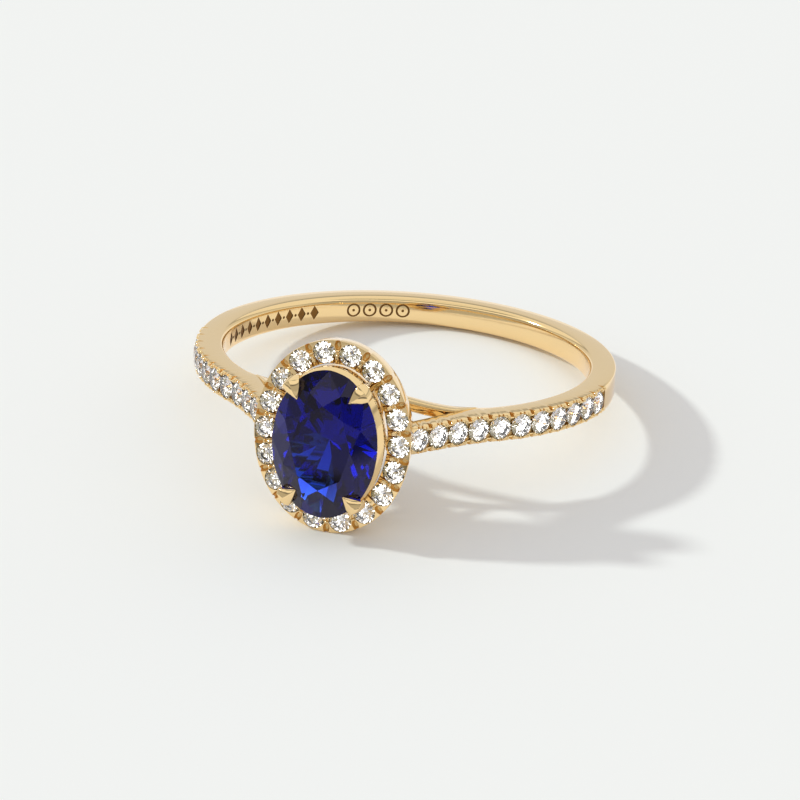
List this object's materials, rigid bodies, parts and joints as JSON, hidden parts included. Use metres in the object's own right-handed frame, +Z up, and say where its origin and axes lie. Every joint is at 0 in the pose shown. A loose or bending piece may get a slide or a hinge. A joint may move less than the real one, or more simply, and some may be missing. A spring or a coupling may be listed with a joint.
{
  "type": "engagement ring",
  "caption": "Yellow gold ring lying on its side: an oval blue stone in pointed claws, an oval halo of small diamonds, and diamond-set shoulders on a flat-sided band.",
  "frame": {"origin": "centre of the footprint, on the surface that the ring lies on, with the ring on its side on the low edge of its band and the low end of its halo", "axes": "+Z up; -Y is the way the head points; +X is across the finger hole, to the right seen from the head side. The finger axis leans about 10 degrees from +Z, its top towards +Y"},
  "size_m": [0.02, 0.0242, 0.009],
  "materials": {
    "polished_gold": "warm yellow 9 carat gold, mirror polished",
    "sapphire": "deep royal blue, polished facets",
    "diamond": "colourless, polished facets"
  },
  "bodies": {
    "root": {"shank": "polished_gold", "under_bridge": "polished_gold", "halo_frame": "polished_gold", "seat_collar": "polished_gold", "claw_upper_right": "polished_gold", "claw_upper_left": "polished_gold", "claw_lower_right": "polished_gold", "claw_lower_left": "polished_gold", "centre_sapphire": "sapphire", "halo_diamond_01": "diamond", "halo_diamond_02": "diamond", "halo_diamond_03": "diamond", "halo_diamond_04": "diamond", "halo_diamond_05": "diamond", "halo_diamond_06": "diamond", "halo_diamond_07": "diamond", "halo_diamond_08": "diamond", "halo_diamond_09": "diamond", "halo_diamond_10": "diamond", "halo_diamond_11": "diamond", "halo_diamond_12": "diamond", "halo_diamond_13": "diamond", "halo_diamond_14": "diamond", "halo_diamond_15": "diamond", "halo_diamond_16": "diamond", "halo_diamond_17": "diamond", "halo_diamond_18": "diamond", "shoulder_diamond_right_01": "diamond", "shoulder_diamond_right_02": "diamond", "shoulder_diamond_right_03": "diamond", "shoulder_diamond_right_04": "diamond", "shoulder_diamond_right_05": "diamond", "shoulder_diamond_right_06": "diamond", "shoulder_diamond_right_07": "diamond", "shoulder_diamond_right_08": "diamond", "shoulder_diamond_right_09": "diamond", "shoulder_diamond_right_10": "diamond", "shoulder_diamond_right_11": "diamond", "shoulder_diamond_left_01": "diamond", "shoulder_diamond_left_02": "diamond", "shoulder_diamond_left_03": "diamond", "shoulder_diamond_left_04": "diamond", "shoulder_diamond_left_05": "diamond", "shoulder_diamond_left_06": "diamond", "shoulder_diamond_left_07": "diamond", "shoulder_diamond_left_08": "diamond", "shoulder_diamond_left_09": "diamond", "shoulder_diamond_left_10": "diamond", "shoulder_diamond_left_11": "diamond"}
  },
  "joints": []
}
